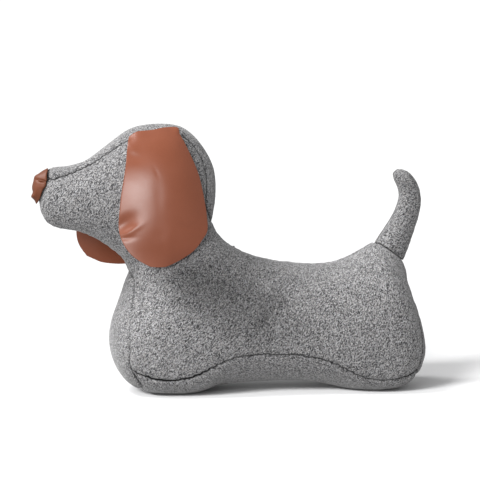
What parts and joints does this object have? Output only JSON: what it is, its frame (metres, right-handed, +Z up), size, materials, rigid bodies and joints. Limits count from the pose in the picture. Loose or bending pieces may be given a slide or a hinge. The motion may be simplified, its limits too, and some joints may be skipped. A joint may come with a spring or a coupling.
{
  "type": "dog doorstop",
  "caption": "Weighted wool doorstop in the shape of a standing dachshund, sewn from side panels and gussets, with leather ears, a leather nose and a stuffed tail.",
  "frame": {"origin": "on the ground, under the middle of the bounding box", "axes": "-X is where the dog looks, -Y is its left side, +Z is up"},
  "size_m": [0.3388, 0.1178, 0.2305],
  "materials": {
    "wool": "grey flecked melange wool cloth, matt, with a short soft nap",
    "leather": "smooth tan leather with a soft sheen, darker on its inner side"
  },
  "bodies": {
    "root": {"body": "wool", "head_gusset": "wool", "chest_gusset": "wool", "base_panel": "wool", "rump_gusset": "wool", "tail": "wool", "nose": "leather", "ear_left": "leather", "ear_right": "leather"}
  },
  "joints": []
}
